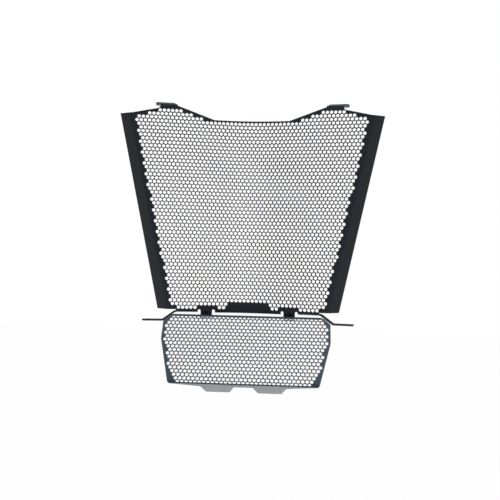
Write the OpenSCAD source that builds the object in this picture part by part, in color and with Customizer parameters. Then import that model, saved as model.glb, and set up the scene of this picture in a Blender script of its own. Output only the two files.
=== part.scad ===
// Radiator guard for a motorcycle: two perforated and folded aluminium sheets.
// The upper sheet covers a curved radiator, and the lower one the oil cooler below it.
// +X points right, +Y to the back and +Z up. The origin lies midway between the bolt
// holes of the two top tabs, level with the tabs' upper faces.
// A wing is one flat half of the upper sheet. Along it, s runs outwards from the line
// where the two wings' front faces would meet, and z runs up from the tabs' upper faces.

/* [Sheet metal] */
// Thickness of both sheets
sheet_t = 2; // [1.2:0.1:2.5]
// Inside radius of every press fold
fold_r = 2; // [1:0.25:3]
// Inside radius of the softer folds along the two sides
side_fold_r = 5; // [3:0.5:9]

/* [Perforation] */
// Diameter of a hole in the grille
hole_d = 10; // [5:0.5:14]
// Metal left between two neighbouring holes
hole_land = 2; // [1:0.1:4]

/* [Upper sheet] */
// Height from the top tabs to the bottom edge
upper_h = 305; // [280:1:340]
// Distance from the middle to a side fold at its upper end, along the sheet
fold_top_s = 178; // [165:1:200]
// Distance from the middle to a side fold at its lower end, along the sheet
fold_bottom_s = 118; // [112:1:130]
// Angle by which each wing comes forward of the plain front
wing_angle = 11.4; // [6:0.2:16]
// Radius of the rolled middle
roll_r = 190; // [120:5:260]
// Drop of the scooped top edge below the tabs
scoop_drop = 23; // [16:1:30]
// Half of the straight bottom of the scoop
scoop_half = 56; // [40:1:70]
// Drop of the upper end of a side fold below the tabs
shoulder_drop = 18; // [14:1:26]
// Rise of the side flanges' lower ends above the bottom edge
heel_rise = 4.4; // [3:0.2:8]
// Distance from the middle to the end of the bottom edge, along the sheet
bottom_half = 106; // [100:1:110]

/* [Side flanges] */
// Angle that each side is folded back by
flange_angle = 45; // [25:1:70]
// Width of a side flange beyond its fold
flange_w = 15; // [8:1:22]

/* [Top tabs] */
// Distance from the middle to the inner end of a tab, along the sheet
tab_in_s = 115.5; // [112:0.5:118]
// Distance from the middle to the outer side of a tab's stem
tab_stem_s = 135; // [130:0.5:140]
// How far a tab stands out beyond its stem
tab_over = 6.6; // [3:0.2:10]
// Reach of a tab to the back
tab_depth = 20; // [16:1:30]
// Diameter of the bolt holes in the tabs and ears
bolt_hole_d = 6.6; // [5:0.1:8]

/* [Bottom edge and ears] */
// Distance from the middle to a joining tab
link_s = 61.8; // [56:0.2:66]
// Width of a joining tab
link_w = 15; // [12:0.5:18]
// Width of the relief slots beside a joining tab
relief_w = 4.4; // [3:0.2:6]
// Depth of the relief slots
relief_h = 4.6; // [4.4:0.2:6]
// How far a joining tab hangs below the bottom edge
link_drop = 9; // [7:0.5:12]
// Reach of the bottom flanges and their ears to the back
ear_depth = 16; // [13:0.5:20]
// Distance from the middle to the upper bend of an arm
arm_top_s = 107; // [106:0.5:112]
// Distance from the middle to the lower bend of an arm
arm_low_s = 125; // [121:0.5:132]
// Drop of an ear below the bottom edge
ear_drop = 11.5; // [6:0.5:16]
// Distance from the middle to the tip of an ear
ear_tip_s = 154.8; // [146:0.2:165]

/* [Name plate area] */
// Half of the plain area at the middle of the bottom edge
plate_half = 31; // [20:1:40]
// Height of the plain area
plate_h = 14; // [10:1:20]

/* [Lower sheet] */
// Angle by which the lower sheet leans forward at its foot
lower_angle = 31.3; // [15:0.1:40]
// Height of the lower sheet between its two folds
lower_h = 102.5; // [80:0.5:130]
// Half of the top fold's length
lower_top_half = 108.5; // [100:0.5:115]
// Half of the widest part
lower_side_half = 119.5; // [116:0.5:130]
// Half of the bottom fold's length
lower_foot_half = 101; // [90:0.5:110]
// Height of the slanted upper corners
lower_chamfer_h = 9; // [5:0.5:15]
// Distance from the top fold to where the sides start to draw in
lower_waist = 38; // [25:1:60]
// Gap from the bottom edge of the upper sheet to the top fold of the lower one
lower_gap = 3.3; // [2:0.1:6]
// How far the top fold of the lower sheet stands in front of the joining tabs
lower_forward = 19.6; // [16:0.2:26]

/* [Lower sheet's flanges] */
// Reach of the top flange to the back
lip_top = 6.5; // [5:0.5:10]
// Reach of the bottom flange to the back
lip_foot = 10; // [6:0.5:14]
// Reach of the two foot tabs to the back
foot_depth = 26; // [18:0.5:32]
// Distance from the middle to a foot tab's centre
foot_x = 36; // [30:0.5:42]
// Width of a foot tab at its end
foot_end_w = 35; // [20:1:38]
// Width of a foot tab at its root
foot_root_w = 46; // [40:1:56]
// Width of the two tongues that reach the upper sheet
tongue_w = 28; // [20:1:34]

/* [Screws] */
// Thread diameter of the joining screws
screw_d = 4; // [3:0.5:5]
// Height of the screws above the bottom edge
screw_rise = 1.6; // [0:0.2:3]
// Clearance of the screws in their holes, on the diameter
screw_play = 0.5; // [0.2:0.1:1]

/* [Hidden] */
$fn = 64;

sheet_black = [0.16, 0.19, 0.21];
lower_black = [0.22, 0.27, 0.31];
screw_black = [0.10, 0.10, 0.11];
zinc = [0.55, 0.56, 0.58];

hole_r = hole_d / 2;
pitch = hole_d + hole_land;
row_h = pitch * sqrt(3) / 2;
fold_out = fold_r + sheet_t;
side_start = (side_fold_r + sheet_t) * tan(flange_angle / 2);
near = 0.01;

// Plain metal left between the holes and each kind of edge
side_land = 2.5;
top_land = 1.6;
foot_land = 4.6;
link_land = 9.5;
first_row = 12;

// The rolled middle touches both wings at this distance from their meeting line
roll_s = roll_r * tan(wing_angle);
roll_arc = roll_r * wing_angle * PI / 180;
// Distance across the front of the point at u along the sheet
function front_x(u) = abs(u) < roll_arc ? roll_r * sin(u / roll_r * 180 / PI)
    : sign(u) * (roll_s + abs(u) - roll_arc) * cos(wing_angle);

fold_tilt = atan((fold_top_s - fold_bottom_s) / (upper_h - heel_rise - shoulder_drop));
function fold_s(z) = fold_top_s + (z + shoulder_drop) * tan(fold_tilt);

// Top edge of a wing: scoop, slope, stem, fillet and shoulder
stem_fillet = 5;
chamfer_h = 4.5;
shoulder_slope = (shoulder_drop - stem_fillet * 2 + 0.5) / (fold_top_s - tab_stem_s - stem_fillet);
stem_base = -shoulder_drop + shoulder_slope * (fold_top_s - tab_stem_s - stem_fillet);
slope_s = tab_in_s - chamfer_h * 1.25;
function top_z(s) = lookup(s, [[0, -scoop_drop], [scoop_half, -scoop_drop], [slope_s, -chamfer_h],
    [tab_in_s, 0], [tab_stem_s - near, 0], [tab_stem_s, stem_base], [fold_top_s, -shoulder_drop]]);
fold_lead = 1;

// Position of the top tabs' bolt holes in a wing
tab_bolt_s = (tab_in_s + tab_stem_s + tab_over) / 2 + 2;
tab_bolt_n = tab_depth - 8;
origin_y = -tab_bolt_s * sin(wing_angle) + tab_bolt_n * cos(wing_angle);
ear_bolt_s = ear_tip_s - ear_depth / 2;

link_z = -upper_h + screw_rise;

// Places things drawn in a wing's own directions: s, depth behind its front face, z
module on_wing(side) {
    mirror([side < 0 ? 1 : 0, 0, 0])
        translate([0, -origin_y, 0])
            rotate([0, 0, -wing_angle])
                children();
}

// Extrudes a shape drawn in s and z backwards through the sheet
module through_wing(depth) {
    translate([0, depth, 0])
        rotate([90, 0, 0])
            linear_extrude(depth)
                children();
}

// Points along an arc, from one angle to another
function arc_points(cx, cz, r, from, to, n = 8) =
    [for (i = [0:n]) let (a = from + (to - from) * i / n) [cx + r * cos(a), cz + r * sin(a)]];

// Outline of a wing's flat part, from the rolled middle out to the side fold
module wing_outline() {
    heel_z = -upper_h + heel_rise;
    flat_low = -upper_h + fold_out;
    link_in = link_s - link_w / 2;
    link_out = link_s + link_w / 2;
    relief_z = -upper_h + relief_h;
    polygon(concat(
        [[roll_s, -fold_out - fold_lead], [tab_in_s, -fold_out - fold_lead],
         [tab_in_s, -fold_out], [tab_stem_s, -fold_out]],
        arc_points(tab_stem_s + stem_fillet, stem_base + stem_fillet, stem_fillet, 180, 270),
        [[fold_s(-shoulder_drop) - side_start, -shoulder_drop],
         [fold_s(heel_z) - side_start, heel_z],
         [bottom_half, heel_z], [bottom_half, flat_low],
         [link_out + relief_w, flat_low], [link_out + relief_w, relief_z], [link_out, relief_z],
         [link_out, -upper_h - link_drop], [link_in, -upper_h - link_drop],
         [link_in, relief_z], [link_in - relief_w, relief_z], [link_in - relief_w, -upper_h],
         [roll_s, -upper_h]]));
}

// Which places of the hole pattern are punched in the upper sheet
function upper_hole(u, z) = let (s = abs(u), r = hole_r)
    s < fold_s(z) - side_start - r - side_land
    && z < min(top_z(s), top_z(s - r), top_z(s + r)) - r - top_land
    && z < -2 * fold_out - r
    && z > -upper_h + r + foot_land
    && (z > -upper_h + r + link_land || abs(s - link_s) > link_w / 2 + relief_w)
    && (z > -upper_h + plate_h + r || s > plate_half + r);

// Distance from the middle to the line between the rolled middle's holes and a wing's, in a row
function seam_u(row) = let (odd = (row % 2) / 2)
    (ceil((roll_arc + hole_r + 1) / pitch - 0.5 + odd) + 0.5 - odd) * pitch;

// Centres of the upper sheet's holes, as distance along the sheet and height, and whether
// each one is in the rolled middle
upper_centres = [for (row = [0:floor((upper_h - first_row) / row_h)],
        i = [-ceil(fold_top_s / pitch):ceil(fold_top_s / pitch)])
    let (u = (i + (row % 2) / 2) * pitch, z = -first_row - row * row_h)
    if (upper_hole(u, z)) [u, z, abs(u) < seam_u(row)]];

// The zigzag line, between two columns of holes, where the rolled middle gives way to a wing
seam_lap = 0.35 * hole_land;
function seam(shift) = [for (row = [0:ceil((upper_h - first_row) / row_h)], end = [1, -1])
    [seam_u(row) + shift, -first_row - row * row_h + end * row_h / 3]];

// One flat half of the upper sheet, with its holes
module wing_plate() {
    through_wing(sheet_t)
        difference() {
            wing_outline();
            polygon(concat([for (p = seam(-seam_lap)) [roll_s + p[0] - roll_arc, p[1]]],
                [[0, -2 * upper_h], [0, 0]]));
            for (c = upper_centres)
                if (c[0] > 0 && !c[2])
                    translate([roll_s + c[0] - roll_arc, c[1]])
                        circle(hole_r, $fn = 32);
            translate([link_s, link_z])
                circle(d = screw_d + screw_play, $fn = 32);
        }
}

// Everything in front of the rolled middle's face at a depth in the sheet. The roll bites a
// little into the wings' planes, so that its cylinder and each plane cross in a clean line.
roll_bite = 0.02;
module roll_core(depth) {
    block = 60;
    translate([0, -(roll_r - roll_bite) / cos(wing_angle), -upper_h - 1])
        cylinder(r = roll_r + depth, h = upper_h, $fn = 360);
    for (side = [-1, 1])
        mirror([side < 0 ? 1 : 0, 0, 0])
            rotate([0, 0, -wing_angle])
                translate([roll_s, depth - block, -upper_h - 1])
                    cube([block, block, upper_h]);
}

// The rolled middle between the wings, with its holes
module middle() {
    edge = [for (p = seam(seam_lap)) [front_x(p[0]), p[1]]];
    intersection() {
        difference() {
            roll_core(sheet_t);
            roll_core(0);
        }
        translate([0, 10, 0])
            rotate([90, 0, 0])
                linear_extrude(40)
                    difference() {
                        intersection() {
                            polygon(concat(edge, [for (i = [len(edge) - 1:-1:0]) [-edge[i][0], edge[i][1]]]));
                            translate([-fold_top_s, -upper_h])
                                square([2 * fold_top_s, upper_h - fold_out - 2 * fold_lead]);
                        }
                        for (side = [0, 1])
                            mirror([side, 0])
                                translate([(link_s - link_w / 2 - relief_w) * cos(wing_angle), -upper_h - 1])
                                    square([fold_top_s, relief_h + 1]);
                        for (c = upper_centres)
                            if (c[2])
                                translate([front_x(c[0]), c[1]])
                                    circle(hole_r, $fn = 32);
                    }
    }
}

// Section of a fold: a straight lead along +X, an arc that turns towards +Y, then a leg.
// The arc bites a little into both straights, so that it meets them in clean lines.
fold_bite = 0.01;
module fold_section(angle, r, leg, lead) {
    difference() {
        fold_core(angle, r, sheet_t, leg, lead);
        fold_core(angle, r, 0, leg, lead);
    }
}

// Everything inside the fold's face at a depth from its inner side
module fold_core(angle, r, depth, leg, lead) {
    shift = fold_bite * tan(angle / 2);
    reach = 4 * (r + sheet_t);
    past = 8;
    translate([-lead, sheet_t - depth])
        square([lead + shift, r + depth - fold_bite]);
    translate([shift, r + sheet_t - fold_bite]) {
        intersection() {
            circle(r + depth);
            polygon([[0, 0], for (a = [-past, angle / 3, 2 * angle / 3, angle + past]) reach * [sin(a), -cos(a)]]);
        }
        rotate(angle)
            translate([0, fold_bite - r - depth])
                square([leg, r + depth - fold_bite]);
    }
}

// Side flange: folded back along the slanted fold line, cut level at its lower end
module side_flange() {
    long = upper_h + 60;
    intersection() {
        translate([fold_top_s, 0, -shoulder_drop])
            rotate([0, fold_tilt, 0])
                translate([-side_start, 0, -long + 40])
                    linear_extrude(long)
                        fold_section(flange_angle, side_fold_r, flange_w, 2);
        translate([0, -5, 0])
            through_wing(60)
                polygon([[80, -upper_h + heel_rise], [fold_top_s + 60, -upper_h + heel_rise],
                    [fold_top_s + 60, -shoulder_drop - 60 * shoulder_slope],
                    [80, -shoulder_drop + (fold_top_s - 80) * shoulder_slope]]);
    }
}

// Top tab: folded back level from the stem, wider than the stem on its outer side
module top_tab() {
    difference() {
        union() {
            translate([tab_in_s, 0, -fold_out])
                rotate([90, 0, 90])
                    linear_extrude(tab_stem_s - tab_in_s)
                        mirror([1, -1])
                            fold_section(90, fold_r, 2 * fold_lead, fold_lead);
            translate([tab_in_s, fold_out + fold_lead, -sheet_t])
                linear_extrude(sheet_t)
                    rounded_end(tab_stem_s + tab_over - tab_in_s, tab_depth - fold_out - fold_lead, 4);
        }
        translate([tab_bolt_s, tab_bolt_n, -sheet_t - 1])
            cylinder(d = bolt_hole_d, h = sheet_t + 2);
    }
}

// A rectangle from the origin whose two far corners are rounded
module rounded_end(w, d, r) {
    square([w, d - r]);
    translate([r, 0])
        square([w - 2 * r, d]);
    for (x = [r, w - r])
        translate([x, d - r])
            circle(r);
}

// Bottom flange, arm and ear: one strip folded back from the bottom edge
module ear_strip() {
    low = -upper_h;
    flange_in = link_s + link_w / 2 + relief_w;
    drop = atan(ear_drop / (arm_low_s - arm_top_s));
    mitre = sheet_t * tan(drop / 2);
    difference() {
        union() {
            translate([flange_in, 0, low + fold_out])
                rotate([90, 0, 90])
                    linear_extrude(bottom_half - flange_in)
                        rotate(-90)
                            fold_section(90, fold_r, 2 * fold_lead, fold_lead);
            intersection() {
                translate([0, fold_out + fold_lead, 0])
                    through_wing(ear_depth - fold_out - fold_lead)
                        polygon([[flange_in, low], [arm_top_s, low],
                            [arm_low_s, low - ear_drop], [ear_tip_s, low - ear_drop],
                            [ear_tip_s, low - ear_drop + sheet_t],
                            [arm_low_s + mitre, low - ear_drop + sheet_t],
                            [arm_top_s + mitre, low + sheet_t], [flange_in, low + sheet_t]]);
                translate([flange_in, ear_depth, low - 2 * ear_drop])
                    rotate(-90)
                        linear_extrude(3 * ear_drop)
                            rounded_end(ear_depth - fold_out - fold_lead, ear_tip_s - flange_in, 4);
            }
        }
        translate([ear_bolt_s, (ear_depth + fold_out) / 2, low - ear_drop - 1])
            cylinder(d = bolt_hole_d, h = sheet_t + 2);
    }
}

// The scoop cut into the top edge between the two tabs
module scoop() {
    slope = (scoop_drop - chamfer_h) / (slope_s - scoop_half);
    beyond = scoop_half + scoop_drop / slope;
    translate([0, 3 * tab_depth, 0])
        rotate([90, 0, 0])
            linear_extrude(6 * tab_depth)
                polygon([for (p = [[-scoop_half, -scoop_drop], [scoop_half, -scoop_drop], [beyond, 0],
                    [-beyond, 0]]) [p[0] * cos(wing_angle), p[1]]]);
}

module upper_guard() {
    color(sheet_black)
        difference() {
            union() {
                translate([0, -origin_y, 0])
                    middle();
                for (side = [-1, 1])
                    on_wing(side) {
                        wing_plate();
                        side_flange();
                    }
            }
            scoop();
        }
    color(sheet_black)
        for (side = [-1, 1])
            on_wing(side) {
                top_tab();
                ear_strip();
            }
}

// Places things drawn in the lower sheet's own directions: across, depth, height above its top
module on_lower() {
    translate([0, -origin_y - link_s * sin(wing_angle) - lower_forward, -upper_h - lower_gap])
        rotate([-lower_angle, 0, 0])
            children();
}

// Half width of the lower sheet at w below its top fold
function lower_half(w) = lookup(w, [[0, lower_top_half], [lower_chamfer_h, lower_side_half],
    [lower_waist, lower_side_half], [lower_h, lower_foot_half]]);

lower_centres = [for (row = [0:round(lower_h / row_h)],
        i = [-ceil(lower_side_half / pitch):ceil(lower_side_half / pitch)])
    let (x = (i + (row % 2) / 2) * pitch, w = row * row_h)
    if (abs(x) < min(lower_half(w), lower_half(w - hole_r), lower_half(w + hole_r)) - hole_r - side_land)
        [x, -w]];

// Front view of the lower sheet with its holes, from the top fold to the foot
module lower_front() {
    difference() {
        polygon([for (side = [1, -1]) each [for (w = side > 0 ? [0, lower_chamfer_h, lower_waist, lower_h]
            : [lower_h, lower_waist, lower_chamfer_h, 0]) [side * lower_half(w), -w]]]);
        for (c = lower_centres)
            translate(c)
                circle(hole_r, $fn = 32);
    }
}

// One of the lower sheet's two folds, cut by the row of holes that lies across it
module lower_fold(foot) {
    intersection() {
        translate([-lower_side_half, 0, foot ? -lower_h + fold_out : -fold_out])
            rotate([90, 0, 90])
                linear_extrude(2 * lower_side_half)
                    if (foot)
                        rotate(-90)
                            fold_section(90, fold_r, 1, 1);
                    else
                        mirror([1, -1])
                            fold_section(90, fold_r, 1, 1);
        through_wing(2 * fold_out)
            lower_front();
    }
}

// Flat plate in one of the flanges, drawn across and in depth
module flange_plate(foot) {
    translate([0, 0, foot ? -lower_h : -sheet_t])
        linear_extrude(sheet_t)
            children();
}

// Bottom flange with its two foot tabs
module foot_flange() {
    corner = lower_foot_half - 2;
    flange_plate(true)
        for (side = [0, 1])
            mirror([side, 0])
                polygon([[0, fold_out], [corner, fold_out], [foot_x + foot_root_w / 2, lip_foot],
                    [foot_x + foot_end_w / 2, foot_depth], [foot_x - foot_end_w / 2, foot_depth],
                    [foot_x - foot_root_w / 2, lip_foot], [0, lip_foot]]);
}

// Tongue that runs back from the top flange and turns up behind a joining tab
module tongue() {
    turn = 180 - acos(sin(lower_angle) * cos(wing_angle));
    skew = atan(tan(wing_angle) / cos(lower_angle));
    corner_n = (sheet_t / cos(wing_angle) + lower_forward) / cos(lower_angle);
    start = fold_r * tan(turn / 2);
    link_x = link_s * cos(wing_angle);
    end_half = link_w / 2 - 1;
    end_top = link_z + link_w / 2 - 1.5;
    on_lower()
        flange_plate(false)
            difference() {
                translate([link_x - tongue_w / 2, fold_out])
                    square([tongue_w, corner_n - fold_out]);
                translate([link_x, corner_n])
                    rotate(-skew)
                        translate([-tongue_w, -start])
                            square([2 * tongue_w, tongue_w]);
            }
    difference() {
        intersection() {
            on_lower()
                translate([link_x, corner_n, -sheet_t])
                    rotate([0, 0, -skew])
                        translate([-tongue_w / 2, -start, 0])
                            rotate([90, 0, 90])
                                linear_extrude(tongue_w)
                                    fold_section(turn, fold_r, 2 * link_w, 1);
            on_wing(1)
                translate([0, -tongue_w, 0])
                    through_wing(2 * tongue_w)
                        polygon([[link_s - end_half, link_z - 2 * link_w], [link_s + end_half, link_z - 2 * link_w],
                            [link_s + end_half, end_top - 2], [link_s + end_half - 2, end_top],
                            [link_s - end_half + 2, end_top], [link_s - end_half, end_top - 2]]);
        }
        on_wing(1)
            translate([link_s, 3 * sheet_t, link_z])
                rotate([90, 0, 0])
                    cylinder(d = screw_d + screw_play, h = 3 * sheet_t);
    }
}

module lower_guard() {
    color(lower_black) {
        on_lower() {
            through_wing(sheet_t)
                intersection() {
                    lower_front();
                    translate([-lower_side_half, -lower_h + fold_out])
                        square([2 * lower_side_half, lower_h - 2 * fold_out]);
                }
            lower_fold(false);
            lower_fold(true);
            flange_plate(false)
                translate([-lower_top_half + 2, fold_out])
                    square([2 * lower_top_half - 4, lip_top - fold_out]);
            foot_flange();
        }
        tongue();
        mirror([1, 0, 0])
            tongue();
    }
}

head_d = 1.9 * screw_d;
head_h = 0.55 * screw_d;
socket_d = 0.62 * screw_d;
nut_w = 1.75 * screw_d;
nut_h = 0.8 * screw_d;

// Button-head screw through a joining tab and the tongue behind it
module screw(side) {
    color(screw_black)
        on_wing(side)
            translate([link_s, 0, link_z])
                rotate([90, 0, 0])
                    difference() {
                        union() {
                            intersection() {
                                cylinder(d = head_d, h = head_h);
                                translate([0, 0, head_h - head_d])
                                    sphere(head_d);
                            }
                            translate([0, 0, -2 * sheet_t - nut_h - 1.5])
                                cylinder(d = screw_d, h = 2 * sheet_t + nut_h + 1.5);
                        }
                        translate([0, 0, head_h - 0.3 * screw_d])
                            cylinder(d = socket_d, h = screw_d, $fn = 6);
                    }
}

// Hexagon nut behind the tongue's upturned end
module nut(side) {
    color(zinc)
        on_wing(side)
            translate([link_s, 2 * sheet_t, link_z])
                rotate([-90, 0, 0])
                    difference() {
                        cylinder(d = nut_w / cos(30), h = nut_h, $fn = 6);
                        translate([0, 0, -1])
                            cylinder(d = screw_d + 0.04, h = nut_h + 2);
                    }
}

upper_guard();
lower_guard();
screw(-1);  // screw_left
screw(1);  // screw_right
nut(-1);  // nut_left
nut(1);  // nut_right
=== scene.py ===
import math

import bmesh
import bpy
from mathutils import Matrix, Vector


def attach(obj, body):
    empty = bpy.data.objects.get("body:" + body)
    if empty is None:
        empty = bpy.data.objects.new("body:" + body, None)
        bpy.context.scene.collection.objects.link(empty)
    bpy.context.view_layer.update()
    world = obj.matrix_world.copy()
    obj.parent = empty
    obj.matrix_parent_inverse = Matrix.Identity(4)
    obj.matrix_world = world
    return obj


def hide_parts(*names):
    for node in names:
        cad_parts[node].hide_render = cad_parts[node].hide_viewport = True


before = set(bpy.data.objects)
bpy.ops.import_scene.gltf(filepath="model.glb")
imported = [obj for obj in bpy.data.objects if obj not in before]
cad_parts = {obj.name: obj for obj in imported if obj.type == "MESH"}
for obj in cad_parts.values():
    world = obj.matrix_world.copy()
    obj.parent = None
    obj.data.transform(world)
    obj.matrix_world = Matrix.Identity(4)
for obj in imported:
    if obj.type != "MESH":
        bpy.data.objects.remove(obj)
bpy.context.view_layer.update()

# Upper sheet: one piece of 2 mm aluminium, punched all over with staggered 5 mm holes, rolled at
# its middle, and pressed back along its sides, its top tabs and its bottom edge. Its right half
# is drawn flat as the front face, folded, mirrored, given its thickness, and powder coated.
sheet_t = 0.002
fold_out = 0.004
fold_steps = 5
pitch = 0.006
row_h = 0.00521
hole_r = 0.00252
hole_sides = 12
half_corner = pitch / math.sqrt(3)
near = 1e-5

roll_r = 0.190
wing_angle = math.radians(11.4)
roll_gain = roll_r * (math.tan(wing_angle) - wing_angle)
bolt_s = 0.13055
bolt_back = 0.012
bolt_hole_r = 0.0033
bolt_hole_sides = 24
origin_y = bolt_back * math.cos(wing_angle) - bolt_s * math.sin(wing_angle)

upper_h = 0.3059
scoop_half = 0.056
scoop_z = -0.023
shoulder_s = 0.1757
shoulder_z = -0.018
shoulder_slope = 0.2237
heel_z = -0.3014
heel_step = 0.0023
fold_top_s = 0.178
fold_slope = 0.060 / 0.2834


def edge_height(s, line):
    """Height of a drawn line at a distance from the middle"""
    for (s0, z0), (s1, z1) in zip(line, line[1:]):
        if s0 <= s <= s1:
            return z0 + (z1 - z0) * (s - s0) / (s1 - s0)
    return line[-1][1]


def fold_s(z):
    """Distance of the slanted side fold from the middle"""
    return fold_top_s + (z - shoulder_z) * fold_slope


# The punched field ends short of the top edge and the side folds. Its two last rows leave the
# plain area at the middle and the joining tab free.
upper_first = -0.0118
upper_columns = 31
upper_rows = 56
top_edge = [(0, scoop_z), (scoop_half, scoop_z), (0.1096, -0.0044), (0.1153, 0),
            (0.1349, 0), (0.1399, -0.0095), (fold_top_s, -0.0179)]
top_margin = 0.0042
side_margin = 0.00562
last_rows = {54: [(0.032, 0.112)], 55: [(0.035, 0.043), (0.077, 0.103)]}


def upper_hole(u, z, row):
    """Whether the upper sheet is punched at this place of the pattern"""
    s = u + roll_gain
    if z > edge_height(s, top_edge) - top_margin or s > fold_s(z) - side_margin:
        return False
    if row in last_rows:
        return any(start < u < end for start, end in last_rows[row])
    return row < upper_rows


def cell_of(point, first):
    """Centre and row of the cell of the pattern that a point lies in"""
    above = math.floor((first - point.z) / row_h)
    cells = []
    for row in (above, above + 1):
        shift = pitch / 2 if row % 2 == 0 else 0
        u = round((point.x - shift) / pitch) * pitch + shift
        cells.append((u, first - row * row_h, row))
    return min(cells, key=lambda cell: (cell[0] - point.x) ** 2 + (cell[1] - point.z) ** 2)


def pick(kind, rule):
    """Selects only those vertices, edges or faces of the open piece that follow the rule"""
    bpy.ops.mesh.select_mode(type=kind)
    bpy.ops.mesh.select_all(action="DESELECT")
    mesh = bmesh.from_edit_mesh(bpy.context.object.data)
    for part in {"VERT": mesh.verts, "EDGE": mesh.edges, "FACE": mesh.faces}[kind]:
        if rule(part):
            part.select_set(True)
    mesh.select_flush_mode()
    bmesh.update_edit_mesh(bpy.context.object.data)


def finish(kind, **settings):
    """Adds a modifier to the piece and applies it"""
    modifier = bpy.context.object.modifiers.new(kind.lower(), kind)
    for name, value in settings.items():
        setattr(modifier, name, value)
    bpy.ops.object.modifier_apply(modifier=modifier.name)


def hole_edge(sides, r, place, upright=True):
    """Draws the edge of a hole, in the upright sheet or in a level part of it"""
    bpy.ops.mesh.primitive_circle_add(vertices=sides, radius=r, location=place,
                                      rotation=(math.pi / 2 if upright else 0, 0, 0))


def punched_cells(name, first, columns, rows, punched):
    """Hexagonal cells with a round hole in each, side by side, where the sheet is punched"""
    bpy.ops.object.select_all(action="DESELECT")
    bpy.ops.mesh.primitive_circle_add(vertices=6, radius=half_corner, enter_editmode=True,
                                      location=(pitch / 2, 0, first), rotation=(math.pi / 2, 0, 0))
    bpy.ops.mesh.subdivide()
    piece = bpy.context.object
    piece.name = name
    hole_edge(hole_sides, hole_r, (pitch / 2, 0, first))
    bpy.ops.mesh.select_all(action="SELECT")
    bpy.ops.mesh.bridge_edge_loops()
    bpy.ops.object.mode_set(mode="OBJECT")
    bpy.ops.object.transform_apply(location=True, rotation=True, scale=True)
    copies = ((columns, (pitch, 0, 0)), (2, (-pitch / 2, 0, -row_h)), (rows // 2, (0, 0, -2 * row_h)))
    for count, step in copies:
        finish("ARRAY", count=count, use_relative_offset=False, use_constant_offset=True,
               constant_offset_displace=step)
    bpy.ops.object.mode_set(mode="EDIT")
    bpy.ops.mesh.select_all(action="SELECT")
    bpy.ops.mesh.remove_doubles(threshold=10 * near)
    pick("FACE", lambda face: not punched(*cell_of(face.calc_center_median(), first)))
    bpy.ops.mesh.delete(type="FACE")
    return piece


def draw(points, closed=False):
    """Draws a line of edges through the points, from vertex to vertex"""
    bpy.ops.mesh.select_mode(type="VERT")
    bpy.ops.mesh.select_all(action="DESELECT")
    speck_r = 0.001
    bpy.ops.mesh.primitive_circle_add(vertices=3, radius=speck_r, location=points[0])
    bpy.ops.mesh.merge(type="CENTER")
    for before, after in zip(points, points[1:]):
        move = Vector(after) - Vector(before)
        bpy.ops.mesh.extrude_vertices_move(TRANSFORM_OT_translate={"value": move})
    if closed:
        ends = [Vector(points[0]), Vector(points[-1])]
        pick("VERT", lambda v: len(v.link_edges) == 1 and any((v.co - end).length < near for end in ends))
        bpy.ops.mesh.edge_face_add()


def corner(x, y, r, start, end, steps=fold_steps):
    """Points round a corner, in two directions"""
    turns = [math.radians(start + (end - start) * step / steps) for step in range(steps + 1)]
    return [(x + r * math.cos(turn), y + r * math.sin(turn)) for turn in turns]


def fill_border():
    """Fills the plain metal between the drawn outline and the punched cells, and leaves the holes,
    whose sides are shorter than half a side of a cell"""
    over_hole_side = 0.42 * half_corner
    pick("EDGE", lambda edge: len(edge.link_faces) == 0
         or (len(edge.link_faces) == 1 and edge.calc_length() > over_hole_side))
    bpy.ops.mesh.fill(use_beauty=True)


def fill_level(rule):
    """Fills a level part of the sheet between its open edges"""
    bpy.ops.mesh.select_all(action="SELECT")
    bpy.ops.mesh.remove_doubles(threshold=2 * near)
    pick("EDGE", lambda edge: len(edge.link_faces) < 2 and all(rule(v.co) for v in edge.verts))
    bpy.ops.mesh.fill(use_beauty=True)


def on_line(edge, a, b):
    """Whether both ends of an edge lie on the line from a to b"""
    a, b = Vector(a), Vector(b)
    way = (b - a).normalized()
    return all(((v.co - a) - (v.co - a).dot(way) * way).length < 2 * near
               and -2 * near < (v.co - a).dot(way) < (b - a).length + 2 * near for v in edge.verts)


def fold(a, b, r, angle):
    """Folds the sheet's edge from a to b back, round an axis that lies r behind it"""
    a, b = Vector(a), Vector(b)
    way = (b - a).normalized()
    pick("EDGE", lambda edge: len(edge.link_faces) == 1 and on_line(edge, a, b))
    bpy.ops.mesh.spin(steps=fold_steps, angle=angle, center=a + Vector((0, r, 0)), axis=way)


def extrude(move):
    """Extrudes what is selected"""
    bpy.ops.mesh.extrude_region_move(TRANSFORM_OT_translate={"value": Vector(move)})


def cut(place, normal, **side):
    """Cuts what is selected along a plane"""
    bpy.ops.mesh.bisect(plane_co=place, plane_no=normal, threshold=near, **side)


def thicken():
    """Mirrors the open half and gives the whole sheet its thickness, behind its front face"""
    bpy.ops.object.mode_set(mode="OBJECT")
    finish("MIRROR", use_axis=(True, False, False), merge_threshold=5 * near)
    bpy.ops.object.mode_set(mode="EDIT")
    bpy.ops.mesh.select_all(action="SELECT")
    bpy.ops.mesh.remove_doubles(threshold=3 * near)
    bpy.ops.mesh.normals_make_consistent(inside=False)
    mesh = bmesh.from_edit_mesh(bpy.context.object.data)
    if sum(face.normal.y * face.calc_area() for face in mesh.faces) > 0:
        bpy.ops.mesh.flip_normals()
    bpy.ops.object.mode_set(mode="OBJECT")
    finish("SOLIDIFY", thickness=sheet_t, offset=-1, use_even_offset=True)


def hand_over(piece, name):
    """Shades the sheet and puts it in the place of its CAD node"""
    bpy.ops.object.shade_smooth_by_angle(angle=math.radians(30))
    finish("WEIGHTED_NORMAL", keep_sharp=True)
    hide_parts(name)
    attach(piece, "root")


def flat(s, z, y=0.0):
    """A place on the flat right half, at a distance from where the wings' faces would meet"""
    return (s - roll_gain if s > roll_r * wing_angle else s, y, z)


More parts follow.
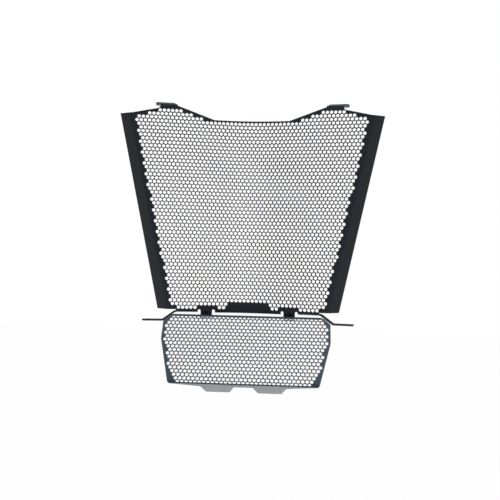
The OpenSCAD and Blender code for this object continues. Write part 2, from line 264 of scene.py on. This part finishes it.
# The last row's cells stop just above the line where the bottom flange is folded back
upper = punched_cells("upper_sheet", upper_first, upper_columns, upper_rows, upper_hole)
last_row_gap = 0.0006
mesh = bmesh.from_edit_mesh(upper.data)
for vertex in mesh.verts:
    vertex.co.z = max(vertex.co.z, -upper_h + fold_out + last_row_gap)

# Outline of the flat right half, clockwise from the scoop: the top tab, the shoulder, the side
# fold, the bottom fold, and the joining tab between its two relief slots
link_s = 0.0618
link_low = -0.314
link_half = 0.0084
slot_r = 0.0021
slot_z = -upper_h + 0.0046
slot_steps = 6
tab_in_s = 0.1105
tab_out_s = 0.135
tab_root_z = -0.0045
scoop_top_s = 0.109875
stem_r = 0.005
arm_s = 0.106
beyond = -0.004
fold_in = link_s + link_half + 2 * slot_r
slot_out = corner(link_s + link_half + slot_r, slot_z - slot_r, slot_r, 0, 180, slot_steps)
slot_in = corner(link_s - link_half - slot_r, slot_z - slot_r, slot_r, 0, 180, slot_steps)
side_top = flat(shoulder_s, shoulder_z + (fold_top_s - shoulder_s) * shoulder_slope)
side_foot = flat(fold_s(heel_z) - heel_step, heel_z)
outline = [flat(scoop_half, scoop_z), flat(scoop_top_s, tab_root_z), flat(tab_in_s, -fold_out),
           flat(tab_out_s, -fold_out)]
outline += [flat(s, z) for s, z in corner(tab_out_s + stem_r, tab_root_z, stem_r, 180, 270)]
outline += [side_top, side_foot, flat(arm_s, heel_z), flat(arm_s, -upper_h + fold_out),
            flat(fold_in, -upper_h + fold_out)]
outline += [flat(s, z) for s, z in slot_out]
outline += [flat(link_s + link_half, link_low), flat(link_s - link_half, link_low)]
outline += [flat(s, z) for s, z in slot_in]
outline += [flat(link_s - link_half - 2 * slot_r, -upper_h), (beyond, 0, -upper_h), (beyond, 0, scoop_z)]
draw(outline, closed=True)
screw_z = -0.3034
screw_hole_r = 0.00225
screw_hole_sides = 16
hole_edge(screw_hole_sides, screw_hole_r, flat(link_s, screw_z))
fill_border()
roll_cuts = 12
for step in range(1, roll_cuts + 1):
    pick("FACE", lambda face: not upper_hole(*cell_of(face.calc_center_median(), upper_first)))
    cut((step * pitch / 2, 0, 0), (1, 0, 0))
bpy.ops.mesh.select_all(action="SELECT")
cut((0, 0, 0), (1, 0, 0), clear_inner=True)

# Side flange: pressed back along the slanted fold line, a little higher at its outer corner
# than at the fold, and cut level at its lower end
flange_angle = math.radians(45)
flange_out = 0.007
flange_w = 0.0166
flange_rise = 0.18
fold_way = (Vector(side_foot) - Vector(side_top)).normalized()
outwards = fold_way.cross(Vector((0, 1, 0)))
fold(side_top, side_foot, flange_out, flange_angle)
extrude((outwards * math.cos(flange_angle) + Vector((0, math.sin(flange_angle), 0))) * flange_w)
mesh = bmesh.from_edit_mesh(upper.data)
for vertex in mesh.verts:
    off = vertex.co - Vector(side_top)
    if abs(off.dot(fold_way)) < near and vertex.co.y > near:
        vertex.co -= off.length * flange_rise * fold_way
bmesh.update_edit_mesh(upper.data)
pick("FACE", lambda face: (face.calc_center_median() - Vector(side_top)).dot(outwards) > 10 * near)
cut((0, 0, heel_z), (0, 0, -1), clear_outer=True)

# Top tab: pressed back level, with a slanted inner corner, an overhang and a bolt hole
tab_slant = Vector((0.005, 0, 0.004))
tab_end_in_s = 0.1155
tab_end_out_s = 0.1416
tab_back = 0.020
tab_corner_r = 0.004
overhang_start = fold_out + 0.001
tab_in, tab_out, tab_stem = (flat(s, 0)[0] for s in (tab_end_in_s, tab_end_out_s, tab_out_s))
fold(flat(tab_in_s, -fold_out), flat(tab_out_s, -fold_out), fold_out, math.pi / 2)
pick("FACE", lambda face: face.calc_center_median().z > -fold_out + 10 * near)
cut(flat(tab_in_s, -fold_out), tab_slant.cross(Vector((0, 1, 0))), clear_outer=True)
tab = corner(tab_out - tab_corner_r, tab_back - tab_corner_r, tab_corner_r, 0, 90)
tab += corner(tab_in + tab_corner_r, tab_back - tab_corner_r, tab_corner_r, 90, 180)
draw([(tab_stem, fold_out, 0), (tab_out, overhang_start, 0)] + [(x, y, 0) for x, y in tab]
     + [(tab_in, fold_out, 0)])
hole_edge(bolt_hole_sides, bolt_hole_r, flat(bolt_s, 0, bolt_back), upright=False)
fill_level(lambda place: abs(place.z) < near)

# Bottom flange, its slanted arm and the ear with a bolt hole
ear_tip_s = 0.1548
ear_back = 0.016
ear_z = -0.3188
ear_corner_r = 0.004
ear_bolt_s = 0.1468
ear_bolt_back = 0.010
arm_lead = 0.001
arm_low_s = 0.125
arm_r = 0.0015
stub = 0.004
arm_top, arm_low, ear_tip = (flat(s, 0)[0] for s in (arm_s + arm_lead, arm_low_s, ear_tip_s))
fold(flat(arm_s, -upper_h + fold_out), flat(fold_in, -upper_h + fold_out), fold_out, math.pi / 2)
extrude((0, ear_back - fold_out, 0))
pick("EDGE", lambda edge: on_line(edge, flat(arm_s, -upper_h, fold_out), flat(arm_s, -upper_h, ear_back)))
extrude((arm_lead, 0, 0))
extrude((arm_low - arm_top, 0, ear_z + upper_h))
extrude((stub, 0, 0))
pick("EDGE", lambda edge: on_line(edge, (arm_top, fold_out, -upper_h), (arm_top, ear_back, -upper_h))
     or on_line(edge, (arm_low, fold_out, ear_z), (arm_low, ear_back, ear_z)))
bpy.ops.mesh.bevel(offset=arm_r, segments=4)
ear = corner(ear_tip - ear_corner_r, fold_out + ear_corner_r, ear_corner_r, -90, 0)
ear += corner(ear_tip - ear_corner_r, ear_back - ear_corner_r, ear_corner_r, 0, 90)
draw([(arm_low + stub, fold_out, ear_z)] + [(x, y, ear_z) for x, y in ear]
     + [(arm_low + stub, ear_back, ear_z)])
hole_edge(bolt_hole_sides, bolt_hole_r, flat(ear_bolt_s, ear_z, ear_bolt_back), upright=False)
fill_level(lambda place: abs(place.z - ear_z) < near and place.x > arm_low + stub - near)

# The flat half is rolled round the middle and turned forward as a wing
bpy.ops.object.mode_set(mode="OBJECT")
meeting_y = roll_r / math.cos(wing_angle) + origin_y
for vertex in upper.data.vertices:
    turn = min(vertex.co.x / roll_r, wing_angle)
    along = vertex.co.x - turn * roll_r
    out = roll_r + vertex.co.y
    vertex.co.x, vertex.co.y = (out * math.sin(turn) + along * math.cos(turn),
                                out * math.cos(turn) - along * math.sin(turn) - meeting_y)
thicken()
hand_over(upper, "upper_guard")


class Value:
    """A socket of a node tree, so that sums on it are written as Python sums"""

    def __init__(self, nodes, socket):
        self.nodes = nodes
        self.socket = socket

    def math(self, operation, other):
        return self.nodes.node("ShaderNodeMath", {"operation": operation}, {0: self, 1: other})

    def __add__(self, other):
        return self.math("ADD", other)

    def __mul__(self, other):
        return self.math("MULTIPLY", other)

    __radd__ = __add__
    __rmul__ = __mul__


class Nodes:
    """A node tree, made node by node"""

    def __init__(self, tree):
        self.tree = tree

    def node(self, kind, settings, sockets, output=0):
        """Adds a node with its settings and the values or links of its sockets"""
        node = self.tree.nodes.new(kind)
        for name, value in settings.items():
            setattr(node, name, value)
        for name, value in sockets.items():
            if isinstance(value, Value):
                self.tree.links.new(value.socket, node.inputs[name])
            else:
                node.inputs[name].default_value = value
        return Value(self, node.outputs[output])

    def feed(self, node, **sockets):
        """Links values to the sockets of a node that was there from the start"""
        for name, value in sockets.items():
            self.tree.links.new(value.socket, node.inputs[name.replace("_", " ")])


class Finish(Nodes):
    """A material's nodes, with the values that its shader has all over"""

    def __init__(self, name, **shader):
        self.material = bpy.data.materials.new(name)
        self.material.use_nodes = True
        super().__init__(self.material.node_tree)
        self.shader = self.tree.nodes["Principled BSDF"]
        for socket, value in shader.items():
            self.shader.inputs[socket.replace("_", " ")].default_value = value

    def put_on(self, piece):
        """Gives the finish to the piece's slots"""
        if not piece.material_slots:
            piece.data.materials.append(self.material)
        for slot in piece.material_slots:
            slot.material = self.material


def satin_coat(name, dark, light):
    """A satin film with clouds of slightly lighter colour and a fine orange peel"""
    coat = Finish(name, IOR=1.45)
    place = coat.node("ShaderNodeTexCoord", {}, {}, "Object")
    cloud = coat.node("ShaderNodeTexNoise", {}, {"Vector": place, "Scale": 14, "Detail": 3})
    peel = coat.node("ShaderNodeTexNoise", {}, {"Vector": place, "Scale": 1100, "Detail": 2})
    colour = coat.node("ShaderNodeMix", {"data_type": "RGBA"}, {"Factor": cloud, "A": dark, "B": light},
                       "Result")
    bump = coat.node("ShaderNodeBump", {}, {"Height": peel, "Strength": 0.25, "Distance": 0.0001})
    coat.feed(coat.shader, Base_Color=colour, Roughness=0.36 + 0.14 * cloud, Normal=bump)
    return coat


satin_coat("upper_coat", (0.007, 0.012, 0.020, 1), (0.012, 0.019, 0.030, 1)).put_on(upper)

# Lower sheet: the same stock and the same coat, in front of the oil cooler. Its colour is painted
# lighter and bluer than the upper sheet's, as painted light for the light that falls on its leaning
# face. It leans forward at its foot, and both its long edges are folded back through a row of holes. Two
# tongues of its
# top flange turn up behind the upper sheet's joining tabs, and two tabs reach back from its foot.
lower_h = 0.1025
lower_first = -0.0019
lower_columns = 21
lower_rows = 20
lean = math.radians(31.3)
top_r = 0.0075
top_turn = math.radians(74)
top_start = -0.0035
bottom_turn = math.radians(84)
quarter = fold_out * math.pi / 2

# The punched field's distance from the top, and half the sheet's width there. Its last two rows
# end short of the foot's corners.
lower_side = [(-quarter, 0.1070), (0, 0.10855), (0.0091, 0.1195), (0.0400, 0.1193), (0.1002, 0.1024),
              (0.1060, 0.1008)]
lower_margin = 0.00445
foot_row = 18
foot_reach = 0.095


def lower_hole(u, z, row):
    """Whether the lower sheet is punched at this place of the pattern"""
    reach = foot_reach if row >= foot_row else edge_height(-z, lower_side) - lower_margin
    return u < reach and 0 <= row < lower_rows


# The end of the top fold, the tongue's slope behind it, and how far along that slope, and how
# far round, it turns up to lie against the back of the joining tab
slope = lean + top_turn - math.pi / 2
link_x = link_s * math.cos(wing_angle)
link_turn = math.pi - math.acos(math.sin(slope) * math.cos(wing_angle))
skew = math.atan(math.tan(wing_angle) / math.cos(slope))
inner_r = fold_out - sheet_t
lower_ahead = 0.0196
lip_z = top_start + top_r * top_turn
lip_place = Vector((0, top_r * (1 - math.cos(top_turn)), top_start + top_r * math.sin(top_turn)))
lip_back = lip_place.y * math.cos(lean) + lip_place.z * math.sin(lean)
corner_n = (sheet_t / math.cos(wing_angle) + lower_ahead - lip_back) / math.cos(slope)
bend_n = corner_n - inner_r * math.tan(link_turn / 2) / math.cos(skew)


def tongue_end(x, out=0.0):
    """A place on the flat sheet, out from the skewed line where a tongue starts to turn up"""
    line_z = lip_z + bend_n - (x - link_x) * math.tan(skew)
    return (x + out * math.sin(skew), 0, line_z + out * math.cos(skew))


# Outline of the flat right half, clockwise from the top flange: the tongue, the sides and the
# foot tab, all of them lying in one plane
lip_top = lip_z + 0.0025
tongue_half = 0.0072
root_half = 0.012
end_half = 0.0065 * math.cos(skew)
end_long = 0.0265
top_half = 0.1055
top_low_z = lip_z - 0.002
side_half = 0.1195
side_high_z = -0.0091
side_low_z = -0.0380
foot_half = 0.1046
foot_bevel = 0.0008
foot_bevel_z = 0.001
foot_step = 0.0030
foot_z = -lower_h + fold_out - quarter
foot_land_z = foot_z - 0.006
foot_tab_in, foot_tab_out = 0.0130, 0.0590
foot_end_in, foot_end_out = 0.0215, 0.0505
foot_end_z = foot_z - 0.019
foot_end_r = 0.003
lower = punched_cells("lower_sheet", lower_first, lower_columns, lower_rows, lower_hole)
outline = [(beyond, 0, lip_top), (link_x - root_half, 0, lip_top), tongue_end(link_x - tongue_half),
           tongue_end(link_x - end_half), tongue_end(link_x - end_half, end_long),
           tongue_end(link_x + end_half, end_long), tongue_end(link_x + end_half),
           tongue_end(link_x + tongue_half), (link_x + root_half, 0, lip_top), (top_half, 0, lip_top),
           (top_half, 0, top_low_z), (side_half, 0, side_high_z), (side_half, 0, side_low_z),
           (foot_half, 0, -lower_h + fold_out), (foot_half - foot_bevel, 0, -lower_h + foot_bevel_z),
           (foot_half - foot_step, 0, foot_z), (foot_tab_out, 0, foot_land_z)]
outline += [(x, 0, z) for x, z in corner(foot_end_out, foot_end_z, foot_end_r, 0, -90)]
outline += [(x, 0, z) for x, z in corner(foot_end_in, foot_end_z, foot_end_r, -90, -180)]
outline += [(foot_tab_in, 0, foot_land_z), (beyond, 0, foot_land_z)]
draw(outline, closed=True)
fill_border()
folds = ((top_start, 1, top_r, top_turn), (-lower_h + fold_out, -1, fold_out, bottom_turn))
for start, way, r, angle in folds:
    for step in range(fold_steps + 1):
        bpy.ops.mesh.select_all(action="SELECT")
        cut((0, 0, start + way * r * angle * step / fold_steps), (0, 0, 1))
bend_out = Vector((math.sin(skew), 0, math.cos(skew)))
bend_arc = inner_r * link_turn
bend_steps = 6
for step in range(bend_steps + 1):
    pick("FACE", lambda face: face.calc_center_median().z > lip_z)
    cut(tongue_end(link_x, bend_arc * step / bend_steps), bend_out)
bpy.ops.mesh.select_all(action="SELECT")
cut((0, 0, 0), (1, 0, 0), clear_inner=True)
thicken()

# The flat lower sheet is bent at its long edges, then at its tongues, and leaned into its place.
# The tongues' ends are cut level, just above the screws.
tongue_up = Vector((0, -math.cos(top_turn), math.sin(top_turn)))
tongue_back = Vector((0, math.sin(top_turn), math.cos(top_turn)))
upright = Vector((0, -math.sin(lean), math.cos(lean)))
ahead = bend_out.x * Vector((1, 0, 0)) + bend_out.z * tongue_back
bend_start = lip_place + Vector((link_x, 0, 0)) + bend_n * tongue_back
for vertex in lower.data.vertices:
    side = math.copysign(1, vertex.co.x)
    depth, flat_z = vertex.co.y, vertex.co.z
    place = Vector((abs(vertex.co.x), depth, flat_z))
    for start, way, r, angle in folds:
        past = (flat_z - start) * way
        if past > 0:
            turn = min(past / r, angle)
            rest = past - turn * r
            place.z = start + way * ((r - depth) * math.sin(turn) + rest * math.cos(turn))
            place.y = r - (r - depth) * math.cos(turn) + rest * math.sin(turn)
    out = (place - bend_start).dot(ahead)
    if flat_z > lip_top and out > 0:
        turn = min(out / inner_r, link_turn)
        place += ((inner_r + depth) * math.sin(turn) - out) * ahead + max(0, out - bend_arc) * upright
        place += (inner_r + depth) * (1 - math.cos(turn)) * tongue_up
    vertex.co = (side * place.x, place.y, place.z)
lower_z = -0.3083
tongue_over_screw = 0.006
there = Matrix.Translation((0, -origin_y - link_s * math.sin(wing_angle) - lower_ahead, lower_z))
lower.data.transform(there @ Matrix.Rotation(-lean, 4, "X"))
bpy.ops.object.mode_set(mode="EDIT")
pick("FACE", lambda face: max(v.co.z for v in face.verts) > lower_z + sheet_t)
cut((0, 0, screw_z + tongue_over_screw), (0, 0, 1), clear_outer=True, use_fill=True)
bpy.ops.object.mode_set(mode="OBJECT")
hand_over(lower, "lower_guard")
# Painted light: the upper sheet's paint, made lighter and bluer for the light its leaning face catches
satin_coat("lower_coat", (0.031, 0.051, 0.074, 1), (0.041, 0.067, 0.094, 1)).put_on(lower)

# Screws and nuts: a black button-head screw goes through each joining tab and the tongue behind
# it, into a nut with a grey zinc-flake coat. Their CAD shapes stay, and get their finishes here.
for side in ("left", "right"):
    satin_coat("screw_" + side + "_black", (0.010, 0.010, 0.011, 1),
               (0.016, 0.016, 0.018, 1)).put_on(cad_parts["screw_" + side])
    satin_coat("nut_" + side + "_zinc", (0.30, 0.31, 0.33, 1),
               (0.38, 0.39, 0.41, 1)).put_on(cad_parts["nut_" + side])

# Floor: a sheet of pale paper well below the part. It is white to the camera, half white in
# reflections, and keeps the part's shadow.
floor_z = -1.0
paper_white = 0.94
glow = 0.985
glossy_share = 0.5
bpy.ops.object.select_all(action="DESELECT")
bpy.ops.mesh.primitive_plane_add(size=12, location=(0, 0, floor_z))
floor = bpy.context.object
floor.name = "floor"
paper = Finish("floor_paper", Base_Color=(paper_white, paper_white, paper_white, 1), Roughness=0.9)
camera_ray = paper.node("ShaderNodeLightPath", {}, {}, "Is Camera Ray")
glossy_ray = paper.node("ShaderNodeLightPath", {}, {}, "Is Glossy Ray")
white = paper.node("ShaderNodeEmission", {}, {"Color": (1, 1, 1, 1), "Strength": 1.0})
lit = Value(paper, paper.shader.outputs[0])
seen = (camera_ray + glossy_ray * glossy_share) * glow
mixed = paper.node("ShaderNodeMixShader", {}, {0: seen, 1: lit, 2: white})
paper.feed(paper.tree.nodes["Material Output"], Surface=mixed)
paper.put_on(floor)

# World: a dim even light all round, which is white where the camera sees it
dim = 0.28
world = bpy.data.worlds.new("studio")
bpy.context.scene.world = world
world.use_nodes = True
sky = Nodes(world.node_tree)
background = sky.tree.nodes["Background"]
background.inputs["Color"].default_value = (1, 1, 1, 1)
camera_ray = sky.node("ShaderNodeLightPath", {}, {}, "Is Camera Ray")
through_ray = sky.node("ShaderNodeLightPath", {}, {}, "Is Transmission Ray")
sky.feed(background, Strength=(camera_ray + through_ray) * (1 - dim) + dim)


# Lamps: soft square ones, a large one above, one below for the foot, and a weak one on each side
def lamp(name, size, power, place, towards):
    """A square lamp that points at a place"""
    bpy.ops.object.light_add(type="AREA", location=place)
    light = bpy.context.object
    light.name = name
    light.data.size = size
    light.data.energy = power
    light.rotation_euler = (Vector(towards) - Vector(place)).to_track_quat("-Z", "Y").to_euler()


lamp("top_lamp", size=1.4, power=20, place=(0.1, -0.45, 1.4), towards=(0, 0, -0.2))
lamp("low_lamp", size=1.0, power=15, place=(0.0, 0.3, -0.95), towards=(0, 0, -0.35))
for side in (-1, 1):
    lamp("side_lamp", size=0.5, power=0.4, place=(side * 1.6, -0.45, -0.1), towards=(0, 0, -0.15))

# Camera: a metre in front of the part's middle and a little to its right, as in the photo
view = bpy.data.cameras.new("camera")
view.lens = 49.68
view.sensor_width = 36
camera = bpy.data.objects.new("camera", view)
bpy.context.scene.collection.objects.link(camera)
camera.location = (0.0577, -1.0059, -0.2176)
camera.rotation_euler = [math.radians(angle) for angle in (90.2751, -1.2835, 3.1824)]
bpy.context.scene.camera = camera

bpy.context.scene.view_settings.view_transform = "Standard"
